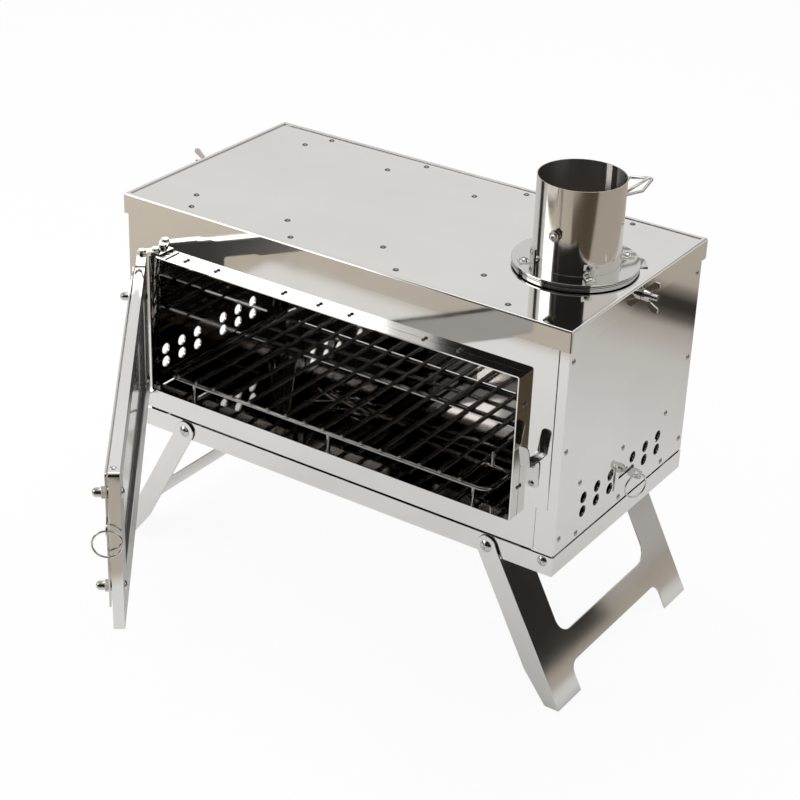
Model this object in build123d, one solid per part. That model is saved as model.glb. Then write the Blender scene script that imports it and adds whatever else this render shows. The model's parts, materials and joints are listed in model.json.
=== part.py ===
from build123d import *
import math
import os

# A folding sheet-steel wood stove, in mm. The ground is z = 0, the mouth faces -Y, and the origin
# is on the ground under the middle of the body.

os.makedirs("parts", exist_ok=True)

# Overall body
body_length = 425.2
body_depth = 218.2
ground_clearance = 120.0
body_height = 212.3
wall_sheet = 0.8
sheet_gap = 0.1

# Tray
tray_skirt = 16.7
tray_sheet = 1.0
tray_shadow_gap = 2.0

# Lid
lid_overhang = 2.4
lid_skirt = 16.25
lid_sheet = 0.8
lid_bead_height = 1.2
lid_bead_width = 3.4
lid_bead_round = 0.9
lid_bead_inset = 1.0
lid_hole_margin = 2.5
stiffener_sheet = 0.8
stiffener_width = 8.0
stiffener_lip = 9.0
stiffener_end_gap = 22.6
rib_width = 10.0
edge_rivet_share = 0.2387
edge_rivet_shift = -1.2
rib_rivet_share = 0.2153
rib_rivet_shift = -28.7
front_row_inset = 12.1
back_row_inset = 8.8
rib_front_inset = 34.1
rib_back_inset = 32.1
rib_taper = 12.0

# Mouth and the collar round it: margins to the body's ends, sill over the tray, head under the lid
mouth_left_margin = 31.0
mouth_right_margin = 34.8
mouth_sill = 42.55
mouth_head = 27.5
collar_reach = 10.5
collar_sheet = 1.0
collar_corner = 2.0
collar_flange = 9.0
collar_flange_sheet = 1.1
collar_top_rivets = (0.0886, 0.178, 0.369, 0.467, 0.551, 0.745, 0.8345)
collar_rivet_inset = 8.5
collar_rivet_head = 1.8
collar_side_rivet_inset = 27.0

# Catch beside the collar
catch_gap = 6.4
catch_width = 10.8
catch_height = 24.0
catch_lift = 31.0
catch_sheet = 1.0
tooth_inset = 1.0
tooth_width = 8.6
tooth_rise = 0.8
tooth_height = 18.0
tooth_forward = 2.5
tooth_lean = 5.0
tooth_corner = 3.0

# End walls
wall_flange = 20.0
wall_flange_visible = 8.6
panel_notch_inset = 18.5
ear_notch_height = 38.0
ear_screw_inset = 9.0
ear_screw_height = 11.6
ear_foot_gap = 0.6
air_hole_radius = 5.0
air_hole_pitch = 22.0
air_hole_gap = 37.0
air_hole_middle = -3.3
air_row_heights = (39.5, 52.0)
air_holes_per_side = 3
channel_sheet = 0.8
channel_wide = 17.0
channel_deep = 12.0
channel_end_gap = 7.3
wall_rivet_inset = 6.5
wall_rivet_drops = (26.2, 102.9)
wall_rivet_low = 12.8

# Shutters
shutter_sheet = 0.8
shutter_length = 150.0
shutter_height = 38.0
shutter_lift = 46.2
shutter_shift = -4.0
shutter_travel = 11.0
tab_thickness = 1.2
tab_rest_y = 6.0
tab_drop = 1.8
tab_reach = 14.0
tab_neck = 1.5
tab_height = 5.0
tab_head_height = 9.0
tab_corner = 3.0
slot_margin = 1.0
rail_lip = 4.0
rail_width = 7.0
rail_gap = 0.35
rail_side_gap = 0.15
rail_overrun = 5.0
rail_rivet_shares = (-0.4667, 0.0, 0.4933)

# Ring pulls
ring_radius = 10.4
ring_wire = 0.75
ring_hole = 2.3
ring_slack = 0.55
ring_edge = 4.2
side_ring_drop = 1.0
ring_yaw = 25.0

# Rivets and screws
rivet_head = 2.6
rivet_rise = 1.2
rivet_shank = 1.4
rivet_tail = 0.7
screw_head = 4.6
screw_rise = 2.4
screw_shank = 2.0
screw_nut = 2.6
nut_flats = 7.0
running_gap = 0.06
fixed_gap = 0.02

# Legs: the cut-out between the arms, the crossbar and the arch between the feet
leg_pivot_inset = 59.0
leg_pivot_height = 7.3
leg_angle = 27.85
leg_sheet = 1.2
leg_fold_offset = 8.6
leg_flange = 17.8
leg_side_gap = 1.0
leg_stop_gap = 0.15
leg_arm = 38.3
leg_foot = 37.3
leg_arch = 24.0
leg_crossbar = 25.5
leg_cut_corner = 14.0
leg_arch_corner = 9.0
leg_taper = 40.5
leg_toe = 1.0
leg_screw_head = 5.2
leg_screw_shank = 2.4

# Door and its hinge
open_angle = 52.4
door_pin_side = 3.4
door_pin_front = 4.3
link_pin_side = 2.6
link_pin_back = 5.8
door_side_lap = 10.1
door_end_past_pin = 5.0
door_bottom_lap = -2.0
door_top_lap = 2.2
door_inner = 3.7
door_thickness = 7.9
door_sheet = 0.8
door_corner = 3.0
liner_gap = 0.3
glass_thickness = 4.0
glass_gap = 0.1
glass_overlap = 8.0
seal_overlap = 2.0
window_hinge_margin = 55.0
window_free_margin = 30.7
window_low_margin = 28.0
window_top_margin = 17.2
plate_start = 24.0
plate_low_margin = 18.7
plate_top_margin = 0.2
plate_stand_off = 1.0
plate_thickness = 1.2
bolt_near_margin = 39.6
bolt_far_margin = 15.1
bolt_low_margin = 27.9
bolt_top_margin = 23.0
bolt_radius = 2.0
bolt_reach = 7.8
bolt_cap_radius = 3.3
bolt_cap_rise = 2.4
bolt_nut_flats = 8.6
bolt_nut_height = 3.6
hinge_leaf_end = 27.0
hinge_leaf_sheet = 0.7
link_gap = 0.2
link_thickness = 1.3
link_half_width = 4.0
pin_radius = 1.6
pin_head = 3.2
pin_head_rise = 1.4
pin_inset = 6.0
ring_tab_reach = 8.5
ring_tab_drop = 40.9
ring_tab_height = 9.0
end_screw_inset = 8.0

# Flue and damper
flue_inset = 58.6
flue_radius = 35.0
flue_wall = 0.6
flue_rise = 74.5
flue_drop = 8.0
flange_width = 15.7
flange_thickness = 1.4
flange_bottom = 3.2
base_disc_inset = 1.3
base_disc_bottom = 1.2
base_disc_thickness = 0.8
seat_inset = 0.7
seat_thickness = 1.0
seat_bore_gap = 1.5
lug_out = 6.5
lug_width = 11.0
lug_angle = 36.0
flange_screw_out = 7.0
flange_screw_head = 3.8
flange_screw_shank = 1.8
bracket_sheet = 1.0
bracket_gap = 0.3
bracket_width = 9.0
bracket_rise = 11.0
bracket_rivet_rise = 7.5
damper_height = 36.4
damper_gap = 1.2
damper_thickness = 1.0
axle_radius = 2.0
handle_wire = 1.3
handle_gap = 6.0
handle_corners = ((0.0, 29.0), (9.5, 52.0), (3.0, 83.0), (-13.5, 72.0))
handle_corner_radius = 3.0
handle_middle_end = 81.0

# Wing nuts
stud_drop = 8.3
stud_radius = 2.5
stud_length = 15.0
stud_slot_gap = 0.3
nut_hub = 4.6
nut_gap = 0.2
wing_tip = 12.0
wing_thickness = 1.8

# Grate
grate_wire = 1.8
grate_rail_height = 14.45
grate_left_gap = 13.6
grate_right_gap = 23.8
grate_front_reach = 3.7
grate_back_gap = 12.1
grate_corner = 11.0
grate_rod_inset = 12.5
grate_pitch = 18.93
cross_rods = (-7.0, 14.5, 38.0)
grate_leg_inset = 28.0
grate_leg_lift = 0.1
peg_side = 16.0
peg_depth = 31.6
peg_rise = 15.0
rest_ledge = 19.0
rest_sheet = 1.0
rest_drop = 12.0
rest_end_gap = 12.6

# Sizes that follow from the ones above
half_length = body_length / 2
half_depth = body_depth / 2
tray_bottom = ground_clearance
tray_top = tray_bottom + tray_skirt
wall_bottom = tray_top + tray_shadow_gap
lid_top = ground_clearance + body_height
lid_low = lid_top - lid_skirt
lid_plate_under = lid_top - lid_sheet
wall_top = lid_plate_under - sheet_gap
tray_inner = half_depth - tray_sheet
flange_face = tray_inner - sheet_gap
panel_back = tray_inner
panel_face = panel_back + wall_sheet
wall_face = half_length
wall_inside = half_length - wall_sheet
collar_left = -half_length + mouth_left_margin
collar_right = half_length - mouth_right_margin
collar_bottom = ground_clearance + mouth_sill
collar_top = lid_low - mouth_head
collar_front = -(panel_face + collar_reach)
leg_pivot_x = half_length - leg_pivot_inset
leg_pivot_z = ground_clearance + leg_pivot_height
leg_half_width = half_depth + leg_side_gap + leg_sheet
flue_x = half_length - flue_inset
stud_z = lid_top - stud_drop


def save(name, *shapes):
    """Write one named piece, or a group of equal separate pieces, as one file."""
    solids = []
    for shape in shapes:
        solids += list(shape.solids())
    export_step(Compound(children=solids), f"parts/{name}.step")


def block(x0, x1, y0, y1, z0, z1):
    """A box between two corners."""
    return Pos((x0 + x1) / 2, (y0 + y1) / 2, (z0 + z1) / 2) * Box(abs(x1 - x0), abs(y1 - y0), abs(z1 - z0))


def aim(point, direction):
    """A place at a point whose Z runs along the direction."""
    return Plane(origin=point, z_dir=direction).location


def rod(point, direction, radius, length):
    """A round bar that starts at the point and runs along the direction."""
    lift = Pos(0, 0, length / 2)
    return aim(point, direction) * lift * Cylinder(radius, length)


def dome(radius, rise):
    """A low domed head standing on z = 0."""
    ball = (radius ** 2 + rise ** 2) / (2 * rise)
    cap = Pos(0, 0, rise - ball) * Sphere(ball)
    return cap & (Pos(0, 0, rise) * Cylinder(radius * 1.2, 2 * rise))


def rivet(point, direction, grip, head=rivet_head):
    """A rivet: domed head outside, shank through the sheets and a flat tail behind them."""
    tail = Pos(0, 0, -grip - rivet_tail / 2) * Cylinder(rivet_shank * 1.5, rivet_tail)
    shank = Pos(0, 0, -grip / 2) * Cylinder(rivet_shank, grip)
    return aim(point, direction) * (dome(head, rivet_rise) + shank + tail)


def rivet_hole(point, direction, depth):
    """The clearance that a rivet's shank needs through the sheets."""
    middle = Pos(0, 0, -depth / 2)
    return aim(point, direction) * middle * Cylinder(rivet_shank + fixed_gap, depth)


def screw(point, direction, grip, head=screw_head, shank=screw_shank, turn=0.0):
    """A cross-slot pan-head screw with a hexagon nut behind the sheets."""
    top = dome(head, screw_rise)
    slot = Pos(0, 0, screw_rise) * (Box(head * 0.95, 0.9, 1.6) + Box(0.9, head * 0.95, 1.6))
    half_nut = screw_nut / 2
    hexagon = RegularPolygon(nut_flats / 2, 6, major_radius=False)
    nut = Pos(0, 0, -grip - half_nut) * extrude(hexagon, half_nut, both=True)
    stem_length = grip + screw_nut + 0.6
    stem = Pos(0, 0, -stem_length / 2) * Cylinder(shank, stem_length)
    return aim(point, direction) * Rot(0, 0, turn) * ((top - slot) + stem + nut)


def hole(point, direction, radius, depth):
    """A round cutter that starts outside the point and runs inward, against the direction."""
    middle = Pos(0, 0, -depth / 2 + 1.0)
    return aim(point, direction) * middle * Cylinder(radius, depth)


def frame(u0, u1, v0, v1, inner, thickness, corner):
    """A flat rectangular frame lying in XZ, thick along +Y, with one rectangular window."""
    outside = RectangleRounded(u1 - u0, v1 - v0, corner)
    iu0, iu1, iv0, iv1 = inner
    shift = Pos((iu0 + iu1 - u0 - u1) / 2, (iv0 + iv1 - v0 - v1) / 2)
    sketch = outside - shift * RectangleRounded(iu1 - iu0, iv1 - iv0, corner + 1)
    plane = Plane(origin=((u0 + u1) / 2, 0, (v0 + v1) / 2), x_dir=(1, 0, 0), z_dir=(0, -1, 0))
    return extrude(plane * sketch, -thickness)


def mirrored(shape):
    """The same piece on the left."""
    return mirror(shape, about=Plane.YZ)


# Base tray: floor, four skirts, screw holes.
tray = block(-half_length, half_length, -half_depth, half_depth, tray_bottom, tray_top)
tray -= block(-half_length + tray_sheet, half_length - tray_sheet, -tray_inner, tray_inner,
              tray_bottom + tray_sheet, tray_top + 1)
front_corners = tray.edges().filter_by(Axis.Z).filter_by_position(Axis.Y, -half_depth - 1, -half_depth + 0.1)
tray = fillet(front_corners, 0.9)

ear_pivot_x = half_length - ear_screw_inset
ear_pivot_z = ground_clearance + ear_screw_height
wall_screws = []
leg_screws = []
for sx in (-1, 1):
    for sy in (-1, 1):
        ear_at = (sx * ear_pivot_x, sy * half_depth, ear_pivot_z)
        wall_screws.append(screw(ear_at, (0, sy, 0), tray_sheet + sheet_gap + wall_sheet, turn=22.0))
        tray -= hole(ear_at, (0, sy, 0), screw_shank + fixed_gap, 4)
        leg_at = (sx * leg_pivot_x, sy * (leg_half_width + sheet_gap), leg_pivot_z)
        leg_grip = leg_half_width + sheet_gap - tray_inner
        leg_screws.append(screw(leg_at, (0, sy, 0), leg_grip, leg_screw_head, leg_screw_shank, 15.0))
        tray -= hole((sx * leg_pivot_x, sy * half_depth, leg_pivot_z), (0, sy, 0),
                     leg_screw_shank + fixed_gap, 4)
save("base_tray", tray)
save("wall_pivot_screws", *wall_screws)
save("leg_pivot_screws", *leg_screws)

# Front panel with the mouth and the notched lower corners.
panel_half = half_length - wall_flange_visible
notch_half = half_length - panel_notch_inset
front_panel = block(-panel_half, panel_half, -panel_face, -panel_back, wall_bottom, wall_top)
for sx in (-1, 1):
    front_panel -= block(sx * notch_half, sx * (panel_half + 1), -panel_face - 1, -panel_back + 1,
                         wall_bottom - 1, wall_bottom + ear_notch_height)
front_panel -= block(collar_left - sheet_gap, collar_right + sheet_gap, -panel_face - 1, -panel_back + 1,
                     collar_bottom - sheet_gap, collar_top + sheet_gap)
back_panel = block(-panel_half, panel_half, panel_back, panel_face, wall_bottom, wall_top)

# The collar runs through the panel and spreads into a narrow flange behind it.
collar_back = -(panel_back - sheet_gap - collar_flange_sheet)
collar_mid_x = (collar_left + collar_right) / 2
collar_mid_z = (collar_bottom + collar_top) / 2
collar_wide = collar_right - collar_left
collar_high = collar_top - collar_bottom


def collar_prism(wide, high, corner, y0, y1):
    """A rounded rectangular prism round the mouth's middle line."""
    plane = Plane(origin=(collar_mid_x, y0, collar_mid_z), x_dir=(1, 0, 0), z_dir=(0, -1, 0))
    return extrude(plane * RectangleRounded(wide, high, corner), -(y1 - y0))


collar = collar_prism(collar_wide, collar_high, collar_corner, collar_front, collar_back)
collar += collar_prism(collar_wide + 2 * collar_flange, collar_high + 2 * collar_flange, collar_corner,
                       -panel_back + sheet_gap, collar_back)
collar -= collar_prism(collar_wide - 2 * collar_sheet, collar_high - 2 * collar_sheet,
                       collar_corner - collar_sheet, collar_front - 1, collar_back + 1)
front_panel += block(collar_left - 4, collar_right + 4, -panel_face, -panel_back,
                     collar_bottom - 4, collar_top + 4) - collar_prism(
    collar_wide + 2 * sheet_gap, collar_high + 2 * sheet_gap, collar_corner, -panel_face - 1, -panel_back + 1)
front_panel = front_panel.clean()

collar_rivets = []
for share in collar_top_rivets:
    at = (collar_left + share * collar_wide, collar_front + collar_rivet_inset, collar_top)
    collar_rivets.append(rivet(at, (0, 0, 1), collar_sheet, collar_rivet_head))
    collar -= rivet_hole(at, (0, 0, 1), collar_sheet + 1)
for sx, edge in ((-1, collar_left), (1, collar_right)):
    for z in (collar_bottom + collar_side_rivet_inset, collar_top - collar_side_rivet_inset):
        at = (edge, collar_front + collar_rivet_inset, z)
        collar_rivets.append(rivet(at, (sx, 0, 0), collar_sheet, collar_rivet_head))
        collar -= rivet_hole(at, (sx, 0, 0), collar_sheet + 1)
save("collar_rivets", *collar_rivets)

# Catch: a spring strip riveted to the panel at the right of the collar. It bends forward at its top
# and ends in an upright tooth that leans out.
catch_x0 = collar_right + catch_gap
catch_x1 = catch_x0 + catch_width
catch_face = -panel_face
catch_z0 = collar_bottom + catch_lift
catch_z1 = catch_z0 + catch_height
tooth_y = collar_front - tooth_forward
tooth_z0 = catch_z1 + tooth_rise
tooth_z1 = tooth_z0 + tooth_height
tooth_tip_y = tooth_y - tooth_lean
catch_side = Plane(origin=(catch_x0 + tooth_inset, 0, 0), x_dir=(0, 1, 0), z_dir=(1, 0, 0))
arm_line = Polyline((catch_face - catch_sheet, catch_z1 - 3.0), (catch_face - catch_sheet, catch_z1 - 1.0),
                    (tooth_y, tooth_z0 - catch_sheet), (tooth_tip_y, tooth_z1),
                    (tooth_tip_y + catch_sheet, tooth_z1), (tooth_y + catch_sheet, tooth_z0),
                    (catch_face, catch_z1), (catch_face, catch_z1 - 3.0), close=True)
catch = extrude(catch_side * make_face(arm_line), tooth_width)
tip_edges = catch.edges().filter_by(Axis.Y).filter_by_position(Axis.Z, tooth_z1 - 0.01, tooth_z1 + 0.01)
catch = fillet(tip_edges, tooth_corner)
catch_plate = Pos((catch_x0 + catch_x1) / 2, 0, (catch_z0 + catch_z1) / 2) * Rot(90, 0, 0) * extrude(
    RectangleRounded(catch_x1 - catch_x0, catch_z1 - catch_z0, 3.0), catch_sheet)
catch += Pos(0, catch_face, 0) * catch_plate
catch_rivets = []
catch_grip = catch_sheet + wall_sheet
catch_mid = (catch_x0 + catch_x1) / 2 - 0.5
for z in (catch_z1 - 4.5, catch_z0 + 3.5):
    at = (catch_mid, catch_face - catch_sheet, z)
    catch_rivets.append(rivet(at, (0, -1, 0), catch_grip))
    cut = rivet_hole(at, (0, -1, 0), catch_grip + 1)
    catch -= cut
    front_panel -= cut
save("door_catch", catch)
save("catch_rivets", *catch_rivets)
save("front_panel", front_panel)

# Hinge pins on the collar, with a small spacer block under each link.
link_pin_x = collar_left + link_pin_side
link_pin_y = collar_front + link_pin_back
door_pin_x = collar_left - door_pin_side
door_pin_y = collar_front - door_pin_front
door_bottom = collar_bottom - door_bottom_lap
door_top = collar_top + door_top_lap
leaf_top = door_top + hinge_leaf_sheet
leaf_bottom = door_bottom - hinge_leaf_sheet
top_link_z = leaf_top + link_gap
low_link_z = collar_bottom - link_gap - link_thickness
collar_pins = []
for end in (-1, 1):
    if end > 0:
        sheet_z = collar_top
        link_out = top_link_z + link_thickness
    else:
        sheet_z = collar_bottom
        link_out = low_link_z
    tip_z = link_out + end * 0.1
    tail_z = sheet_z - end * 3.0
    stem = rod((link_pin_x, link_pin_y, tail_z), (0, 0, end), pin_radius, abs(tip_z - tail_z))
    head = Pos(link_pin_x, link_pin_y, tip_z + end * pin_head_rise / 2) * Cylinder(pin_head, pin_head_rise)
    collar_pins.append(stem + head)
    collar -= rod((link_pin_x, link_pin_y, sheet_z - end * 4.0), (0, 0, end), pin_radius + fixed_gap, 8)
save("collar_hinge_pins", *collar_pins)
bracket_half = link_half_width + 0.4
bracket = block(link_pin_x - 1.6, link_pin_x + 8.0, link_pin_y - bracket_half, link_pin_y + bracket_half,
                collar_top, top_link_z - link_gap)
bracket -= rod((link_pin_x, link_pin_y, collar_top - 1), (0, 0, 1), pin_radius + fixed_gap, 8)
bracket += block(link_pin_x + 5.0, link_pin_x + 14.0, link_pin_y - bracket_half, link_pin_y + bracket_half,
                 collar_top, collar_top + 0.8)
save("hinge_bracket", bracket)
save("door_collar", collar)


# Hinge links.
def link(z0):
    """A plate between the collar pin and the door pin."""
    dx = door_pin_x - link_pin_x
    dy = door_pin_y - link_pin_y
    halfway = ((door_pin_x + link_pin_x) / 2, (door_pin_y + link_pin_y) / 2, z0)
    middle = Plane(origin=halfway, x_dir=(dx, dy, 0), z_dir=(0, 0, 1))
    plate = extrude(middle * SlotCenterToCenter(math.hypot(dx, dy), 2 * link_half_width), link_thickness)
    for x, y in ((door_pin_x, door_pin_y), (link_pin_x, link_pin_y)):
        plate -= rod((x, y, z0 - 1), (0, 0, 1), pin_radius + running_gap, link_thickness + 2)
    return plate


save("hinge_link_top", link(top_link_z))
save("hinge_link_bottom", link(low_link_z))


# The door is drawn shut, then turned to its open place about the door pin.
def hung(shape):
    """A door piece moved from the shut drawing to the open rest pose."""
    return Pos(door_pin_x, door_pin_y, 0) * Rot(0, 0, -open_angle) * shape


door_length = collar_wide + door_side_lap
door_start = -door_end_past_pin
door_end = door_start + door_length
door_outer = door_inner - door_thickness
window_left = door_start + window_hinge_margin
window_right = door_end - window_free_margin
window_bottom = door_bottom + window_low_margin
window_top = door_top - window_top_margin
window = (window_left, window_right, window_bottom, window_top)
bolt_us = (door_start + bolt_near_margin, door_end - bolt_far_margin)
bolt_zs = (door_bottom + bolt_low_margin, door_top - bolt_top_margin)
bolt_places = [(u, z) for u in bolt_us for z in bolt_zs]

shell = block(door_start, door_end, door_outer, door_inner, door_bottom, door_top)
shell = fillet(shell.edges().filter_by(Axis.Y), door_corner)
shell -= block(door_start + door_sheet, door_end - door_sheet, door_outer + door_sheet, door_inner + 1,
               door_bottom + door_sheet, door_top - door_sheet)
shell -= block(window_left, window_right, door_outer - 1, door_outer + 2, window_bottom, window_top)
shell -= rod((0, 0, door_bottom - 2), (0, 0, 1), pin_radius + fixed_gap, door_top - door_bottom + 4)
for u, z in bolt_places:
    shell -= rod((u, door_outer - 2, z), (0, 1, 0), bolt_radius + fixed_gap, 5)
end_screw_u = door_end - end_screw_inset
shell -= rod((end_screw_u, -0.9, door_top - 2), (0, 0, 1), 1.2 + fixed_gap, 4)
save("door_frame", hung(shell))

liner = Pos(0, door_inner - door_sheet, 0) * frame(
    door_start + door_sheet + liner_gap, door_end - door_sheet - liner_gap,
    door_bottom + door_sheet + liner_gap, door_top - door_sheet - liner_gap, window, door_sheet, 1.0)
liner -= rod((0, 0, door_bottom - 2), (0, 0, 1), pin_radius + 1.0, door_top - door_bottom + 4)
for u, z in bolt_places:
    liner -= rod((u, 0, z), (0, 1, 0), bolt_radius + fixed_gap, 6)
save("door_liner", hung(liner))

glass_y = door_outer + door_sheet + glass_gap
glass_box = (window_left - glass_overlap, window_right + glass_overlap, window_bottom - glass_overlap,
             window_top + glass_overlap)
glass = block(glass_box[0], glass_box[1], glass_y, glass_y + glass_thickness, glass_box[2], glass_box[3])
save("door_glass", hung(glass))
seal_y = glass_y + glass_thickness
seal = Pos(0, seal_y, 0) * frame(glass_box[0] - seal_overlap, glass_box[1] + seal_overlap,
                                 glass_box[2] - seal_overlap, glass_box[3] + seal_overlap, window,
                                 door_inner - door_sheet - seal_y, 2.0)
save("glass_seal", hung(seal))

plate_y = door_outer - plate_stand_off
plate_bottom = door_bottom + plate_low_margin
ring_tab_z = door_top - ring_tab_drop
plate_top = door_top - plate_top_margin
cover = Pos(0, plate_y - plate_thickness, 0) * frame(plate_start, door_end, plate_bottom, plate_top, window,
                                                     plate_thickness, 2.0)
ear = block(door_end - 4, door_end + ring_tab_reach, plate_y - plate_thickness, plate_y,
            ring_tab_z - ring_tab_height / 2, ring_tab_z + ring_tab_height / 2)
ear = fillet(ear.edges().filter_by(Axis.Y).filter_by_position(Axis.X, door_end + 1, door_end + 20), 4.0)
ring_hole_u = door_end + ring_tab_reach - 4.0
cover += ear
cover -= rod((ring_hole_u, plate_y - 4, ring_tab_z), (0, 1, 0), ring_hole, 8)
washers = []
bolts = []
for u, z in bolt_places:
    cover -= rod((u, plate_y - 4, z), (0, 1, 0), bolt_radius + fixed_gap, 8)
    ring = rod((u, plate_y, z), (0, 1, 0), 4.0, plate_stand_off)
    washers.append(ring - rod((u, plate_y - 1, z), (0, 1, 0), bolt_radius + fixed_gap, 4))
    outer_face = plate_y - plate_thickness
    hexagon = RegularPolygon(bolt_nut_flats / 2, 6, major_radius=False)
    nut = aim((u, outer_face, z), (0, -1, 0)) * extrude(hexagon, bolt_nut_height)
    flange = rod((u, outer_face, z), (0, -1, 0), 5.2, 0.8)
    stem = rod((u, door_inner, z), (0, -1, 0), bolt_radius, door_inner - outer_face + 1)
    stem += rod((u, outer_face, z), (0, -1, 0), bolt_cap_radius, bolt_reach)
    tip = aim((u, outer_face - bolt_reach, z), (0, -1, 0)) * dome(bolt_cap_radius, bolt_cap_rise)
    head = aim((u, door_inner, z), (0, 1, 0)) * dome(4.0, 2.2)
    bolts.append(nut + flange + stem + tip + head)
save("door_outer_plate", hung(cover))
save("door_spacers", *[hung(w) for w in washers])
save("door_bolts", *[hung(b) for b in bolts])

# Leaves that cap the door's ends over the pins, and the pins themselves.
leaves = []
door_pins = []
for end in (-1, 1):
    if end > 0:
        leaf_z0, leaf_z1 = door_top, leaf_top
        link_out = top_link_z + link_thickness
        inside_z = door_top - pin_inset
    else:
        leaf_z0, leaf_z1 = leaf_bottom, door_bottom
        link_out = low_link_z
        inside_z = door_bottom + pin_inset
    leaf = block(door_start, hinge_leaf_end, door_outer, door_inner, leaf_z0, leaf_z1)
    hinge_corners = leaf.edges().filter_by(Axis.Z).filter_by_position(Axis.X, door_start - 1, door_start + 1)
    leaf = fillet(hinge_corners, door_corner)
    leaf -= rod((0, 0, leaf_z0 - 1), (0, 0, 1), pin_radius + fixed_gap, 4)
    leaves.append(leaf)
    tip_z = link_out + end * 0.1
    stem = rod((0, 0, inside_z), (0, 0, end), pin_radius, abs(tip_z - inside_z))
    head = Pos(0, 0, tip_z + end * pin_head_rise / 2) * Cylinder(pin_head, pin_head_rise)
    door_pins.append(stem + head)
low_washer = Pos(0, 0, (leaf_bottom + low_link_z + link_thickness) / 2) * Cylinder(
    pin_head, leaf_bottom - low_link_z - link_thickness - 0.1)
low_washer -= Pos(0, 0, leaf_bottom) * Cylinder(pin_radius + fixed_gap, 20)
save("door_leaves", *[hung(x) for x in leaves])
save("door_hinge_pins", *[hung(x) for x in door_pins])
save("hinge_washer", hung(low_washer))
end_screw = Pos(end_screw_u, -0.9, 0) * (aim((0, 0, door_top), (0, 0, 1)) * dome(2.4, 1.2)
                                         + rod((0, 0, door_top), (0, 0, -1), 1.2, 3.0))
save("door_end_screw", hung(end_screw))


def ring_pull(place, across):
    """A wire ring that hangs from the place, with its wire running along the direction at the top."""
    centre = (place[0], place[1], place[2] - ring_radius)
    sideways = (-across[1], across[0], 0)
    return Plane(origin=centre, x_dir=across, z_dir=sideways).location * Torus(ring_radius, ring_wire)


ring_rest_z = ring_tab_z - ring_hole + ring_slack + ring_wire
door_ring = hung(ring_pull((ring_hole_u, plate_y - plate_thickness / 2, ring_rest_z), (0, 1, 0)))
save("door_ring", door_ring)

# End walls, shutters, rails, corner channels: drawn on the right, mirrored to the left.
wall = block(wall_inside, wall_face, -flange_face, flange_face, wall_bottom, wall_top)
for sy in (-1, 1):
    wall += block(half_length - wall_flange, wall_face, sy * (flange_face - wall_sheet), sy * flange_face,
                  wall_bottom, wall_top)
    wall += block(half_length - wall_flange, half_length - tray_sheet - 0.3, sy * (flange_face - wall_sheet),
                  sy * flange_face, tray_bottom + tray_sheet + ear_foot_gap, wall_bottom + 1)
    wall -= hole((ear_pivot_x, sy * half_depth, ear_pivot_z), (0, sy, 0), screw_shank + fixed_gap, 4)

shutter_x = wall_inside - sheet_gap
shutter_middle_z = ground_clearance + shutter_lift
shutter = block(shutter_x - shutter_sheet, shutter_x, -shutter_length / 2, shutter_length / 2,
                shutter_middle_z - shutter_height / 2, shutter_middle_z + shutter_height / 2)
shutter = Pos(0, shutter_shift, 0) * shutter
air_rows = [ground_clearance + height for height in air_row_heights]
for z in air_rows:
    for side in (-1, 1):
        for k in range(air_holes_per_side):
            y = air_hole_middle + side * (air_hole_gap / 2 + k * air_hole_pitch)
            cutter = rod((wall_inside - 5, y, z), (1, 0, 0), air_hole_radius, 12)
            wall -= cutter
            shutter -= cutter
tab_z = (air_rows[0] + air_rows[1]) / 2 - tab_drop
slot_y0 = tab_rest_y - shutter_travel - tab_thickness / 2 - slot_margin
slot_y1 = tab_rest_y + tab_thickness / 2 + slot_margin
wall -= block(wall_inside - 1, wall_face + 1, slot_y0, slot_y1, tab_z - tab_height / 2 - 0.6,
              tab_z + tab_height / 2 + 0.6)
shutter += block(shutter_x - shutter_sheet, wall_face + 4.0, tab_rest_y - tab_thickness / 2,
                 tab_rest_y + tab_thickness / 2, tab_z - tab_height / 2, tab_z + tab_height / 2)
tab_head = block(wall_face + tab_neck, wall_face + tab_reach, tab_rest_y - tab_thickness / 2,
                 tab_rest_y + tab_thickness / 2, tab_z - tab_head_height / 2, tab_z + tab_head_height / 2)
tab_head = fillet(tab_head.edges().filter_by(Axis.Y), tab_corner)
shutter += tab_head
ring_x = wall_face + tab_reach - ring_edge
shutter -= rod((ring_x, tab_rest_y - 3, tab_z), (0, 1, 0), ring_hole, 6)
yaw = math.radians(ring_yaw)
side_ring = ring_pull((ring_x, tab_rest_y, tab_z - side_ring_drop), (math.sin(yaw), math.cos(yaw), 0))

rails = []
rail_y0 = shutter_shift - shutter_length / 2 - rail_overrun
rail_y1 = shutter_shift + shutter_length / 2 + rail_overrun
rail_rivets = []
for up in (-1, 1):
    inner_z = shutter_middle_z + up * (shutter_height / 2 + rail_gap)
    outer_z = inner_z + up * rail_width
    lip_z = inner_z - up * rail_lip
    lip_x = shutter_x - shutter_sheet - rail_side_gap
    rail = block(lip_x, wall_inside, rail_y0, rail_y1, inner_z, outer_z)
    rail += block(lip_x - shutter_sheet, lip_x, rail_y0, rail_y1, lip_z, outer_z)
    for share in rail_rivet_shares:
        at = (wall_face, shutter_shift + share * shutter_length, (inner_z + outer_z) / 2)
        grip = wall_face - (lip_x - shutter_sheet)
        rail_rivets.append(rivet(at, (1, 0, 0), grip))
        rail -= rivet_hole(at, (1, 0, 0), grip + 1)
        wall -= rivet_hole(at, (1, 0, 0), grip + 1)
    rails.append(rail)

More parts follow.
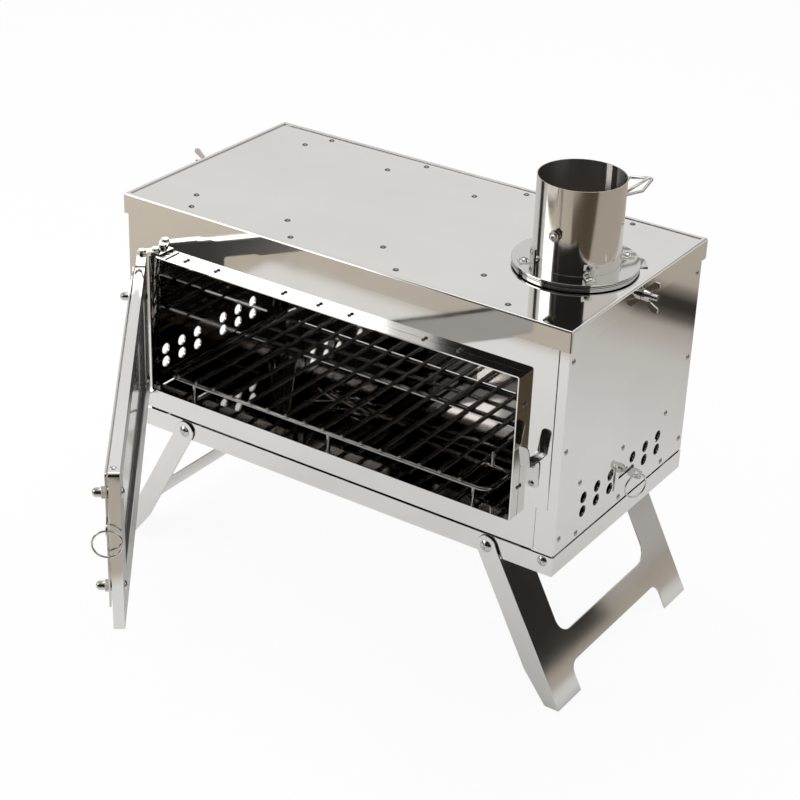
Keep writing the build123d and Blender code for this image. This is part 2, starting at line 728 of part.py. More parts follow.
channels = []
wall_rivets = []
channel_z0 = wall_bottom + channel_end_gap
channel_z1 = wall_top - channel_end_gap
rivet_heights = [wall_top - drop for drop in wall_rivet_drops] + [wall_bottom + wall_rivet_low]
for sy in (-1, 1):
    back = flange_face - wall_sheet - 0.05
    channel = block(wall_inside - channel_sheet, wall_inside, sy * (back - channel_deep), sy * back,
                    channel_z0, channel_z1)
    channel += block(wall_inside - channel_wide, wall_inside, sy * (back - channel_sheet), sy * back,
                     channel_z0, channel_z1)
    for z in rivet_heights:
        at = (wall_face, sy * (flange_face - wall_rivet_inset), z)
        wall_rivets.append(rivet(at, (1, 0, 0), wall_sheet + channel_sheet))
        channel -= rivet_hole(at, (1, 0, 0), 4)
        wall -= rivet_hole(at, (1, 0, 0), 4)
    channels.append(channel)

stud = rod((wall_inside - 2.0, 0, stud_z), (1, 0, 0), stud_radius, stud_length + 2.0 + wall_sheet)
stud += rod((wall_inside - 2.0, 0, stud_z), (1, 0, 0), 5.0, 2.0)
wall -= rod((wall_inside - 1, 0, stud_z), (1, 0, 0), stud_radius + fixed_gap, 3)

nut_face = half_length + lid_overhang + nut_gap
hub = rod((nut_face, 0, stud_z), (1, 0, 0), nut_hub, 2.5)
hub += aim((nut_face + 2.5, 0, stud_z), (1, 0, 0)) * Pos(0, 0, 2.0) * Cone(nut_hub, nut_hub - 0.8, 4.0)
wing_plane = Plane(origin=(nut_face, 0, stud_z), x_dir=(0, 0, 1), z_dir=(0, 1, 0))
for up in (-1, 1):
    outline = Polyline((up * 2.6, 1.0), (up * 5.4, 1.0), (up * (wing_tip + 1.0), 9.0),
                       (up * (wing_tip + 0.6), 13.0), (up * (wing_tip - 3.0), 13.4), (up * 5.2, 6.5),
                       (up * 2.6, 6.5), close=True)
    wing = extrude(wing_plane * make_face(outline), wing_thickness / 2, both=True)
    hub += fillet(wing.edges().filter_by(Axis.Y).filter_by_position(Axis.X, nut_face + 8, nut_face + 20), 1.2)
hub -= rod((nut_face - 1, 0, stud_z), (1, 0, 0), stud_radius + running_gap, stud_length + 2.0)

for side, turn in (("right", lambda s: s), ("left", mirrored)):
    save(f"{side}_end_wall", turn(wall))
    save(f"{side}_shutter", turn(shutter))
    save(f"{side}_shutter_ring", turn(side_ring))
    save(f"{side}_shutter_rails", *[turn(r) for r in rails])
    save(f"{side}_wing_nut", turn(hub))
save("rail_rivets", *rail_rivets, *[mirrored(r) for r in rail_rivets])
save("wall_rivets", *wall_rivets, *[mirrored(r) for r in wall_rivets])
save("corner_channels", *channels, *[mirrored(c) for c in channels])
save("lid_studs", stud, mirrored(stud))
save("back_panel", back_panel)

# Grate rest: an angle strip on the back panel.
sill_top = collar_bottom + collar_sheet
grate_rail_z = sill_top + grate_rail_height
rest_top = grate_rail_z - grate_wire - grate_leg_lift
rest_end = half_length - wall_flange - rest_end_gap
rest = block(-rest_end, rest_end, panel_back - rest_ledge, panel_back, rest_top - rest_sheet, rest_top)
rest += block(-rest_end, rest_end, panel_back - rest_sheet, panel_back, rest_top - rest_drop, rest_top)
save("grate_rest", rest)

# Legs: drawn with the pivot at the origin, +X down the leg and +Z out of its outer face.
foot_drop = ground_clearance + leg_pivot_height
angle = math.radians(leg_angle)
leg_foot_end = (foot_drop + leg_fold_offset * math.sin(angle)) / math.cos(angle)
leg_long = leg_foot_end + 6.0
leg_arch_start = leg_foot_end - leg_arch
leg_cut_end = leg_arch_start - leg_crossbar
leg_cut_half = leg_half_width - leg_arm
leg_arch_half = leg_half_width - leg_foot
sheet_start = (leg_pivot_height + leg_fold_offset * math.sin(angle) + leg_stop_gap) / math.cos(angle)
leg_plane = Plane.XY.offset(leg_fold_offset - leg_sheet)
sheet_sketch = Pos((sheet_start + leg_long) / 2, 0) * Rectangle(leg_long - sheet_start, 2 * leg_half_width)
cut_length = leg_cut_end - sheet_start + 40.0
sheet_sketch -= Pos(leg_cut_end - cut_length / 2, 0) * RectangleRounded(
    cut_length, 2 * leg_cut_half, leg_cut_corner)
sheet_sketch -= Pos(leg_foot_end, 0) * RectangleRounded(2 * leg_arch, 2 * leg_arch_half, leg_arch_corner)
leg = extrude(leg_plane * sheet_sketch, leg_sheet)
reach_in = leg_flange - leg_fold_offset
for sy in (-1, 1):
    outline = Polyline((0, -reach_in), (leg_foot_end - leg_taper, -reach_in), (leg_long, -leg_toe),
                       (leg_long, leg_fold_offset),
                       (sheet_start - 6.0, leg_fold_offset), (0, reach_in), close=True)
    cheek = make_face(outline) + Circle(reach_in)
    flange_plane = Plane(origin=(0, sy * leg_half_width, 0), x_dir=(1, 0, 0), z_dir=(0, -1, 0))
    leg += extrude(flange_plane * cheek, sy * leg_sheet)
    leg -= rod((0, sy * (leg_half_width + 1), 0), (0, -sy, 0), leg_screw_shank + running_gap, 5)
leg = Pos(leg_pivot_x, 0, leg_pivot_z) * Rot(0, 90.0 - leg_angle, 0) * leg
leg -= block(0, body_length, -body_depth, body_depth, -ground_clearance, 0)
save("leg_right", leg)
save("leg_left", mirrored(leg))

# Lid: pressed cover with a raised bead round the top.
lid_half_x = half_length + lid_overhang
lid_half_y = half_depth + lid_overhang
lid = block(-lid_half_x, lid_half_x, -lid_half_y, lid_half_y, lid_low, lid_top)
lid = fillet(lid.edges().filter_by(Axis.Z), 2.0)
lid -= block(-lid_half_x + lid_sheet, lid_half_x - lid_sheet, -lid_half_y + lid_sheet, lid_half_y - lid_sheet,
             lid_low - 1, lid_plate_under)
bead_x = lid_half_x - lid_bead_inset
bead_y = lid_half_y - lid_bead_inset
bead = Pos(0, 0, lid_top + lid_bead_height / 2) * (
    Box(2 * bead_x, 2 * bead_y, lid_bead_height)
    - Box(2 * (bead_x - lid_bead_width), 2 * (bead_y - lid_bead_width), lid_bead_height))
bead = fillet(bead.faces().sort_by(Axis.Z)[-1].edges(), lid_bead_round)
lid += bead
lid -= Pos(flue_x, 0, lid_top) * Cylinder(flue_radius + lid_hole_margin, 10)
for sx in (-1, 1):
    slot_half = stud_radius + stud_slot_gap
    lid -= block(sx * (lid_half_x - 3), sx * (lid_half_x + 1), -slot_half, slot_half, lid_low - 1, stud_z)
    lid -= rod((sx * (lid_half_x - 3), 0, stud_z), (sx, 0, 0), slot_half, 6)

lid_rivets = []
stiffeners = []


def lid_rivet(x, y, grip):
    """Drill one rivet place through the lid and add the rivet."""
    at = (x, y, lid_top)
    lid_rivets.append(rivet(at, (0, 0, 1), grip))
    return rivet_hole(at, (0, 0, 1), grip + 1)


steps = [k - 1.5 for k in range(4)]
edge_x = [k * edge_rivet_share * body_length + edge_rivet_shift for k in steps]
rib_x = [k * rib_rivet_share * body_length + rib_rivet_shift for k in steps]
strip_end = half_length - stiffener_end_gap
strip_under = lid_plate_under - stiffener_sheet
for sy, edge_y in ((-1, -(half_depth - front_row_inset)), (1, half_depth - back_row_inset)):
    inner_y = edge_y - sy * stiffener_width / 2
    strip_body = block(-strip_end, strip_end, inner_y, edge_y + sy * stiffener_width / 2, strip_under,
                       lid_plate_under)
    strip_body += block(-strip_end, strip_end, inner_y, inner_y + sy * stiffener_sheet,
                        lid_plate_under - stiffener_lip, lid_plate_under)
    for x in edge_x:
        cutter = lid_rivet(x, edge_y, lid_sheet + stiffener_sheet)
        lid -= cutter
        strip_body -= cutter
    stiffeners.append(strip_body)
for sy, left_inset in ((-1, rib_front_inset), (1, rib_back_inset)):
    y_left = sy * (half_depth - left_inset)
    slope = -sy * rib_taper / (rib_x[-1] - rib_x[0])
    ends = ((rib_x[0] - 14, -1), (rib_x[-1] + 8, -1), (rib_x[-1] + 8, 1), (rib_x[0] - 14, 1))
    corners = [(x, y_left + slope * (x - rib_x[0]) + way * rib_width / 2) for x, way in ends]
    rib_face = make_face(Polyline(*corners, close=True))
    rib = extrude(Plane.XY.offset(lid_plate_under) * rib_face, -stiffener_sheet)
    for x in rib_x:
        cutter = lid_rivet(x, y_left + slope * (x - rib_x[0]), lid_sheet + stiffener_sheet)
        lid -= cutter
        rib -= cutter
    stiffeners.append(rib)
save("lid_shell", lid)
save("lid_rivets", *lid_rivets)
save("lid_stiffeners", *stiffeners)

# Flue seat on the lid, with a locating lug at its edge.
flange_radius = flue_radius + flange_width
seat_radius = flange_radius - seat_inset
seat = Pos(flue_x, 0, lid_top + seat_thickness / 2) * (
    Cylinder(seat_radius, seat_thickness)
    + Rot(0, 0, lug_angle) * Pos(seat_radius, 0, 0) * Box(2 * lug_out, lug_width, seat_thickness))
seat = seat - Pos(flue_x, 0, lid_top) * Cylinder(flue_radius + seat_bore_gap, 10)
save("flue_seat", seat)


# Flue: base disc, flange, stub, brackets and screws.
def disc(radius, bottom, thickness):
    """A washer-shaped plate round the flue above the lid."""
    ring = Cylinder(radius, thickness) - Cylinder(flue_radius + fixed_gap, thickness)
    return Pos(flue_x, 0, lid_top + bottom + thickness / 2) * ring


base_disc = disc(flange_radius - base_disc_inset, base_disc_bottom, base_disc_thickness)
flange = disc(flange_radius, flange_bottom, flange_thickness)
flange_top = flange_bottom + flange_thickness
stub_bottom = lid_top - flue_drop
stub_top = lid_top + flue_rise
stub = Pos(flue_x, 0, (stub_bottom + stub_top) / 2) * (
    Cylinder(flue_radius, stub_top - stub_bottom) - Cylinder(flue_radius - flue_wall, stub_top - stub_bottom))
stub = fillet(stub.edges().filter_by(GeomType.CIRCLE).group_by(Axis.Z)[-1], 0.2)
flange_screws = []
brackets = []
bracket_rivets = []
flange_screw_circle = flue_radius + flange_screw_out
bracket_face = flue_radius + bracket_sheet + bracket_gap
for k in range(4):
    turn = math.radians(45.0 + 90.0 * k)
    c, s = math.cos(turn), math.sin(turn)
    frame_here = Pos(flue_x, 0, lid_top) * Rot(0, 0, 45.0 + 90.0 * k)
    foot = block(flue_radius + bracket_gap, flange_screw_circle + bracket_width / 2, -bracket_width / 2,
                 bracket_width / 2, flange_top, flange_top + bracket_sheet)
    upright = block(flue_radius - 3.0, bracket_face, -bracket_width / 2, bracket_width / 2, flange_top,
                    flange_top + bracket_rise)
    bracket = (foot + upright) - Pos(0, 0, 20) * Cylinder(flue_radius + fixed_gap, 60)
    screw_z = lid_top + flange_top + bracket_sheet
    screw_at = (flue_x + flange_screw_circle * c, flange_screw_circle * s, screw_z)
    grip = flange_top + bracket_sheet - base_disc_bottom
    stem = rod(screw_at, (0, 0, -1), flange_screw_shank, grip)
    head = aim(screw_at, (0, 0, 1)) * Rot(0, 0, 30.0 * k) * (
        dome(flange_screw_head, 2.2) - Pos(0, 0, 2.2) * (Box(3.6, 0.8, 1.4) + Box(0.8, 3.6, 1.4)))
    flange_screws.append(stem + head)
    cut = rod((screw_at[0], screw_at[1], lid_top), (0, 0, 1), flange_screw_shank + fixed_gap, 20)
    base_disc -= cut
    flange -= cut
    bracket = frame_here * bracket - cut
    r_at = (flue_x + bracket_face * c, bracket_face * s, lid_top + flange_top + bracket_rivet_rise)
    out = (c, s, 0)
    bracket_rivets.append(rivet(r_at, out, bracket_sheet + bracket_gap + flue_wall + sheet_gap))
    bracket -= rivet_hole(r_at, out, 6)
    stub -= rivet_hole(r_at, out, 6)
    brackets.append(bracket)

# Damper: axle along Y through the stub, plate, wire handle behind and nut in front. The handle is one bent
# loop round the axle's own end; its corners are given beside the axle and out from the stub's wall.
damper_z = lid_top + damper_height
stub -= rod((flue_x, -50, damper_z), (0, 1, 0), axle_radius + running_gap, 100)
front_end = -(flue_radius + 7.0)
axle = rod((flue_x, front_end, damper_z), (0, 1, 0), axle_radius, flue_radius + 8.0 - front_end)
axle += aim((flue_x, front_end, damper_z), (0, -1, 0)) * dome(axle_radius, 0.8)
wire_start = flue_radius + handle_gap
handle_tip = flue_radius + handle_middle_end
axle += rod((flue_x, wire_start, damper_z), (0, 1, 0), handle_wire, handle_tip - wire_start)
loop_points = [(flue_x + side, flue_radius + out, damper_z) for side, out in handle_corners]
loop_path = FilletPolyline(*loop_points, radius=handle_corner_radius, close=True).wire()
loop_section = Plane(origin=loop_path @ 0, z_dir=loop_path % 0) * Circle(handle_wire)
axle += sweep(loop_section, path=loop_path)
collar_washer = rod((flue_x, flue_radius + 0.3, damper_z), (0, 1, 0), 4.0, 1.2)
axle += collar_washer
plate = Pos(flue_x, 0, damper_z + axle_radius + damper_thickness / 2) * Cylinder(
    flue_radius - flue_wall - damper_gap, damper_thickness)
clips = []
for y in (-18.0, 18.0):
    clip = block(flue_x - 6.0, flue_x + 6.0, y - 3.0, y + 3.0, damper_z - axle_radius - 0.8,
                 damper_z + axle_radius)
    clip -= rod((flue_x, y - 5, damper_z), (0, 1, 0), axle_radius + fixed_gap, 10)
    clips.append(clip)
axle_nut_at = (flue_x, -(flue_radius + 1.4), damper_z)
axle_nut = aim(axle_nut_at, (0, -1, 0)) * extrude(RegularPolygon(4.0, 6, major_radius=False), 3.2)
axle_nut += rod((flue_x, -(flue_radius + 0.4), damper_z), (0, -1, 0), 4.6, 1.0)
axle_nut -= rod((flue_x, 0, damper_z), (0, -1, 0), axle_radius + fixed_gap, 2 * flue_radius)

save("flue_base_disc", base_disc)
save("flue_flange", flange)
save("flue_stub", stub)
save("flue_screws", *flange_screws)
save("flue_brackets", *brackets)
save("bracket_rivets", *bracket_rivets)
save("damper_axle", axle)
save("damper_plate", plate)
save("damper_clips", *clips)
save("axle_nut", axle_nut)

# Grate: frame wire, rods front to back, cross wires below, short legs on the sill and one upright peg.
grate_left = collar_left + grate_left_gap
grate_right = collar_right - grate_right_gap
grate_front = -(panel_face + grate_front_reach)
grate_back = panel_back - grate_back_gap
grate_wide = grate_right - grate_left
grate_deep = grate_back - grate_front
grate_middle = Pos((grate_left + grate_right) / 2, (grate_front + grate_back) / 2, grate_rail_z)
ring_path = grate_middle * RectangleRounded(grate_wide, grate_deep, grate_corner).wire()
section = Plane(origin=ring_path @ 0, z_dir=ring_path % 0) * Circle(grate_wire)
grate = sweep(section, path=ring_path)
rod_z = grate_rail_z + 2 * grate_wire - 0.3
rod_past = 2.0
grate_rods = int((grate_wide - 2 * grate_rod_inset) / grate_pitch) + 1
for k in range(grate_rods):
    x = grate_left + grate_rod_inset + k * grate_pitch
    grate += rod((x, grate_front - rod_past, rod_z), (0, 1, 0), grate_wire, grate_deep + 2 * rod_past)
    grate += Pos(x, grate_front - rod_past, rod_z) * Sphere(grate_wire)
for y in cross_rods:
    grate += rod((grate_left, y, grate_rail_z), (1, 0, 0), grate_wire, grate_wide)
leg_middle = (grate_left + grate_leg_inset + grate_right - grate_leg_inset / 2) / 2
for x in (grate_left + grate_leg_inset, leg_middle, grate_right - grate_leg_inset / 2):
    grate += rod((x, grate_front, sill_top + grate_leg_lift), (0, 0, 1), grate_wire, grate_rail_height)
peg_x = grate_right - peg_side
peg_y = grate_front + peg_depth
peg_top = grate_rail_z + peg_rise
side_reach = 10.5
grate += rod((peg_x, peg_y, rod_z), (0, 0, 1), grate_wire, peg_top - rod_z)
grate += Pos(peg_x, peg_y, peg_top) * Sphere(grate_wire)
grate += rod((peg_x - side_reach, peg_y, rod_z), (1, 0, 0), grate_wire, peg_side + side_reach)
save("grate", grate)
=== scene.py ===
import json
import math

import bmesh
import bpy
from mathutils import Matrix, Vector


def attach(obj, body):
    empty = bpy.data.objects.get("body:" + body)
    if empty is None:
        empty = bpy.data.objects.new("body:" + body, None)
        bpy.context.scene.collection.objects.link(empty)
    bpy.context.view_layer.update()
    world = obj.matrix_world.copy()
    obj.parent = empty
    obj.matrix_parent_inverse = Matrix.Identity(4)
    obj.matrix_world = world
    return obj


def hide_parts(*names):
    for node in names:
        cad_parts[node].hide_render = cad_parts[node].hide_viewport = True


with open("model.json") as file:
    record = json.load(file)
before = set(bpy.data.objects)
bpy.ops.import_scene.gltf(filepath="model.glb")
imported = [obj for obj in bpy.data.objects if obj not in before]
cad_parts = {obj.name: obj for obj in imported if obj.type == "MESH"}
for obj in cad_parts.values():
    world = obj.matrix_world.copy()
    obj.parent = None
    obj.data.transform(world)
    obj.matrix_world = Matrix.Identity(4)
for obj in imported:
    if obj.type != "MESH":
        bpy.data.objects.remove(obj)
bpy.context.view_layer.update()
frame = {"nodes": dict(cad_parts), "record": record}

bodies = frame["record"]["behaviour"]["bodies"]
body_of = {node: body for body, nodes in bodies.items() for node in nodes}

# Lengths are in metres, apart from the edge widths, which are in millimetres.
MM = 0.001
WELD_GAP = 2e-6
FLAT_SEAM = math.radians(0.8)
EDGE_ANGLE = math.radians(40)
SHEET_CREASE, WIRE_CREASE = 32.0, 60.0
# A face belongs to the fire side when it lies within these lines and looks inward.
WALL_LINE, PANEL_LINE, DEPTH_LIMIT = 0.2125, 0.1085, 0.1088
FLOOR_BELOW, LID_ABOVE, FACING = 0.2, 0.25, 0.5
FLUE_AXIS_X = 0.154
MOUTH_SIDE = (0.792, 0.610)


# Materials

class Nodes:
    """A short way to write the node tree of a material or a world."""

    def __init__(self, owner, output):
        owner.use_nodes = True
        self.owner = owner
        self.tree = owner.node_tree
        self.tree.nodes.clear()
        self.out = self.add(output)

    def add(self, kind, inputs=None, **settings):
        node = self.tree.nodes.new(kind)
        for key, value in settings.items():
            setattr(node, key, value)
        for key, value in (inputs or {}).items():
            self.put(node, key, value)
        return node

    def put(self, node, key, value):
        if isinstance(value, bpy.types.NodeSocket):
            self.tree.links.new(value, node.inputs[key])
        else:
            node.inputs[key].default_value = value

    def surface(self, shader):
        """Join a shader to the output and give back the finished material or world."""
        self.put(self.out, "Surface", shader.outputs[0])
        return self.owner

    def ramp(self, fac, stops):
        node = self.add("ShaderNodeValToRGB", {"Fac": fac})
        ramp = node.color_ramp
        ramp.elements[0].position, ramp.elements[0].color = stops[0][0], (*stops[0][1], 1)
        ramp.elements[1].position, ramp.elements[1].color = stops[-1][0], (*stops[-1][1], 1)
        for place, colour in stops[1:-1]:
            element = ramp.elements.new(place)
            element.color = (*colour, 1)
        return node.outputs["Color"]

    def where(self):
        return self.add("ShaderNodeTexCoord").outputs["Object"]

    def noise(self, scale, detail):
        return self.add("ShaderNodeTexNoise",
                        {"Vector": self.where(), "Scale": scale, "Detail": detail}).outputs["Fac"]

    def spread(self, value, start, end, low=0.0, high=1.0):
        """Carry a value from one range over to another, held at both ends."""
        return self.add("ShaderNodeMapRange", {"Value": value, "From Min": start, "From Max": end,
                                               "To Min": low, "To Max": high}).outputs["Result"]

    def patchy(self, noise, low, high):
        """Spread the middle of a noise between two values."""
        return self.spread(noise, 0.3, 0.7, low, high)

    def bump(self, relief, strength, depth):
        return self.add("ShaderNodeBump", {"Height": relief, "Strength": strength,
                                           "Distance": depth}).outputs["Normal"]

    def mixed(self, share, a, b):
        return self.add("ShaderNodeMix", {0: share, 6: a, 7: b}, data_type="RGBA").outputs[2]

    def product(self, a, b):
        return self.add("ShaderNodeMath", {0: a, 1: b}, operation="MULTIPLY").outputs[0]

    def edge(self, value, place, rise):
        """A mask that turns from nought to one over a border; a negative rise turns it the other way."""
        return self.spread(value, place - rise / 2, place + rise / 2)


def material(name):
    return Nodes(bpy.data.materials.new(name), "ShaderNodeOutputMaterial")


def steel(name, base=(0.78, 0.765, 0.745), rough=(0.03, 0.08), wave=0.10, stain=None):
    """Polished stainless sheet: faint waves of the sheet, smudges and a little colour change."""
    n = material(name)
    smudge = n.noise(9.0, 4.0)
    colour = n.ramp(smudge, [(0.3, tuple(c * 0.94 for c in base)), (0.7, base)])
    if stain:
        tint, most = stain
        colour = n.mixed(n.patchy(n.noise(5.0, 3.0), 0.0, most), colour, (*tint, 1))
    settings = {"Base Color": colour, "Metallic": 1.0, "Roughness": n.patchy(smudge, *rough)}
    if wave:
        settings["Normal"] = n.bump(n.noise(3.2, 1.0), wave, 0.002)
    return n.surface(n.add("ShaderNodeBsdfPrincipled", settings))


def glass():
    n = material("door_pane")
    haze = n.noise(7.0, 4.0)
    return n.surface(n.add("ShaderNodeBsdfPrincipled", {
        "Base Color": n.ramp(haze, [(0.3, (0.90, 0.895, 0.88)), (0.7, (0.95, 0.945, 0.93))]),
        "Roughness": n.patchy(haze, 0.02, 0.08), "Transmission Weight": 1.0, "IOR": 1.47}))


def tape():
    n = material("seal_tape")
    threads = {"Vector": n.where(), "Scale": 420.0, "Distortion": 1.5}
    weave = n.add("ShaderNodeTexWave", threads).outputs["Fac"]
    return n.surface(n.add("ShaderNodeBsdfPrincipled", {
        "Base Color": n.ramp(weave, [(0.2, (0.03, 0.03, 0.03)), (0.8, (0.12, 0.12, 0.115))]),
        "Roughness": 0.9, "Normal": n.bump(weave, 0.5, 0.0004)}))


sheet = steel("polished_sheet")
lid_sheet = steel("lid_sheet", wave=0.05)
# The fire side is a darker copy of the polished sheet: painted shade for the firebox, with patches of heat
# tint.
inside = steel("fire_side_heat_tint_and_painted_shade", base=(0.56, 0.545, 0.53), rough=(0.02, 0.06), wave=0.12,
               stain=((0.40, 0.37, 0.35), 0.5))
thin = steel("thin_plate", base=(0.64, 0.625, 0.60), rough=(0.05, 0.12), wave=0.05)
shaded = steel("door_inner_sheet", base=(0.60, 0.585, 0.57), rough=(0.26, 0.38), wave=0.15)
flue_steel = steel("flue_sheet", base=(0.74, 0.715, 0.68), rough=(0.10, 0.15), wave=0.05)
# The bore steel is a darker, rougher copy of the flue steel: painted shade inside the flue stub, also on the
# damper plate and clips in it.
bore_painted_shade = steel("bore_painted_shade", base=(0.34, 0.315, 0.30), rough=(0.30, 0.45), wave=0.05)
leg_steel = steel("leg_sheet", rough=(0.04, 0.09), wave=0.06)
bright = steel("bright_fastener", base=(0.66, 0.645, 0.62), rough=(0.08, 0.16), wave=0.0)
# Rivets are darker copies of the steel: their colour paints the dark reflections in their domes, darker still
# on the lid and collar.
rivet_steel = steel("rivet_steel", base=(0.42, 0.41, 0.39), rough=(0.06, 0.14), wave=0.0)
rivet_painted_dark_reflection = steel("rivet_steel_painted_dark_reflection", base=(0.17, 0.165, 0.16), rough=(0.05, 0.12), wave=0.0)
wire = steel("polished_wire", base=(0.70, 0.685, 0.66), rough=(0.08, 0.16), wave=0.0)
grate_wire = steel("grate_wire", base=(0.34, 0.33, 0.32), rough=(0.10, 0.22), wave=0.0)
pane = glass()
woven = tape()


# Pieces

def weld(mesh):
    """Join the split vertices of an imported mesh and clear its flat seams."""
    bm = bmesh.new()
    bm.from_mesh(mesh)
    bmesh.ops.remove_doubles(bm, verts=bm.verts, dist=WELD_GAP)
    bmesh.ops.dissolve_limit(bm, angle_limit=FLAT_SEAM, verts=bm.verts, edges=bm.edges)
    bm.to_mesh(mesh)
    bm.free()


def smooth(obj, angle):
    """Smooth shading with creases kept sharp."""
    mesh = obj.data
    for face in mesh.polygons:
        face.use_smooth = True
    mesh.set_sharp_from_angle(angle=math.radians(angle))


def add(name, mesh, body, finish, replaces):
    """Put a finished mesh in the scene on its body."""
    obj = bpy.data.objects.new(name, mesh)
    bpy.context.scene.collection.objects.link(obj)
    mesh.materials.clear()
    mesh.materials.append(finish)
    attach(obj, body)
    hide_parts(*replaces)
    return obj


def dress(node, finish, width, slot, crease=SHEET_CREASE, inner=None, is_inner=None):
    """A worked copy of a CAD piece with softened edges, and its fire side in a second, darker finish that
    paints the shade there.
    """
    mesh = frame["nodes"][node].data.copy()
    weld(mesh)
    obj = add(node + "_dressed", mesh, body_of[node], finish, (node,))
    if inner:
        mesh.materials.append(inner)
        for face in mesh.polygons:
            if is_inner(face.center, face.normal):
                face.material_index = 1
    if width:
        bevel = obj.modifiers.new("edges", "BEVEL")
        bevel.width = width * MM
        bevel.segments = 2
        bevel.limit_method = "ANGLE"
        bevel.angle_limit = EDGE_ANGLE
        bevel.use_clamp_overlap = True
        bevel.harden_normals = False
    smooth(obj, crease)


def faces_fire(centre, normal):
    """True for a sheet's face that looks into the firebox."""
    inside_x = abs(centre.x) < WALL_LINE and normal.x * centre.x < -1e-6 and abs(normal.x) > FACING
    inside_y = abs(centre.y) < PANEL_LINE and normal.y * centre.y < -1e-6 and abs(normal.y) > FACING
    floor_face = normal.z > FACING and centre.z < FLOOR_BELOW
    lid_face = normal.z < -FACING and centre.z > LID_ABOVE
    return abs(centre.y) < DEPTH_LIMIT and (inside_x or inside_y or floor_face or lid_face)


def faces_bore(centre, normal):
    """True for the inner face of the flue stub."""
    return normal.x * (centre.x - FLUE_AXIS_X) + normal.y * centre.y < -1e-6


def faces_mouth(centre, normal):
    """True for the door's faces that look at the mouth, in the open rest pose."""
    return normal.x * MOUTH_SIDE[0] + normal.y * MOUTH_SIDE[1] > FACING


# Each sheet piece with its finish and the width of its softened edges.
# The pieces in the firebox take the darker fire-side steel, painted shade with heat tint.
finishes = {
    "lid_shell": (lid_sheet, 0.3), "front_panel": (sheet, 0.15), "back_panel": (sheet, 0.15),
    "base_tray": (sheet, 0.3), "left_end_wall": (sheet, 0.2), "right_end_wall": (sheet, 0.2),
    "door_collar": (sheet, 0.2), "leg_left": (leg_steel, 0.35), "leg_right": (leg_steel, 0.35),
    "door_frame": (sheet, 0.2), "door_liner": (shaded, 0.15), "door_outer_plate": (thin, 0.25),
    "door_catch": (thin, 0.2), "flue_stub": (flue_steel, 0.1), "flue_flange": (thin, 0.2),
    "flue_base_disc": (thin, 0.15), "flue_seat": (thin, 0.2), "lid_stiffeners": (inside, 0.15),
    "corner_channels": (inside, 0.15), "left_shutter": (thin, 0.15), "right_shutter": (thin, 0.15),
    "left_shutter_rails": (inside, 0.15), "right_shutter_rails": (inside, 0.15), "grate_rest": (inside, 0.15),
    "hinge_bracket": (thin, 0.2), "hinge_link_top": (thin, 0.2), "hinge_link_bottom": (thin, 0.2),
    # The damper plate and clips take the bore steel, painted shade.
    "door_leaves": (thin, 0.15), "flue_brackets": (thin, 0.2), "damper_plate": (bore_painted_shade, 0.2),
    "damper_clips": (bore_painted_shade, 0.15),
}
# The faces of these sheets that look into the firebox take the darker fire-side steel, painted shade with
# heat tint.
fire_side = ("lid_shell", "front_panel", "back_panel", "base_tray", "left_end_wall", "right_end_wall")
second = {node: (inside, faces_fire) for node in fire_side}
# The inner face of the flue stub takes the bore steel, painted shade.
second["flue_stub"] = (bore_painted_shade, faces_bore)
second["door_frame"] = (shaded, faces_mouth)
for node in body_of:
    if node in finishes:
        dress(node, *finishes[node], "sheet", SHEET_CREASE, *second.get(node, (None, None)))
    elif node == "door_glass":
        dress(node, pane, 0.3, "glass")
    elif node == "glass_seal":
        dress(node, woven, 0.0, "seal")
    elif node == "grate":
        dress(node, grate_wire, 0.0, "wire", WIRE_CREASE)
    elif node.endswith("_ring") or node == "damper_axle":
        dress(node, wire, 0.0, "wire", WIRE_CREASE)
    # Rivet heads take the darker rivet steels, painted dark reflections.
    elif node in ("lid_rivets", "collar_rivets"):
        dress(node, rivet_painted_dark_reflection, 0.0, "fastener")
    elif node.endswith("rivets"):
        dress(node, rivet_steel, 0.0, "fastener")
    else:
        dress(node, bright, 0.12, "fastener")


# Stage, light and camera

def stage_plane(name, corners, finish):
    mesh = bpy.data.meshes.new(name)
    mesh.from_pydata(corners, [], [tuple(range(len(corners)))])
    mesh.materials.append(finish)
    obj = bpy.data.objects.new(name, mesh)
    bpy.context.scene.collection.objects.link(obj)
    return obj


# The ground is a white sheet on a wider beige floor. The sheet ends in a soft fold painted as shade and a
# dark gap behind the stove painted as a shadow, a grey patch lies to its left, and a brown one at the
# camera's side.
# The camera sees all of it as white paper with the stove's own shadow.
PAPER, BEIGE, BROWN, GAP = (0.92, 0.92, 0.915), (0.58, 0.525, 0.45), (0.12, 0.092, 0.06), (0.05, 0.045, 0.04)
SHEET_END_SHADE, SHEET_END_DARK_SHADE, GREY = (0.76, 0.74, 0.71), (0.55, 0.50, 0.45), (0.52, 0.50, 0.475)
FRONT, BACK, LEFT, RIGHT, REACH = -0.66, 0.615, -0.49, 0.62, 3.0
BROWN_LEFT, BROWN_FRONT, BROWN_BACK = 0.36, -1.20, -0.40
GREY_RIGHT, GREY_FRONT = -0.26, -0.11
WHITE_SHARE, GROUND = 0.92, -0.0004
n = material("studio_floor")
place = n.add("ShaderNodeSeparateXYZ", {"Vector": n.where()})
x, y = place.outputs["X"], place.outputs["Y"]
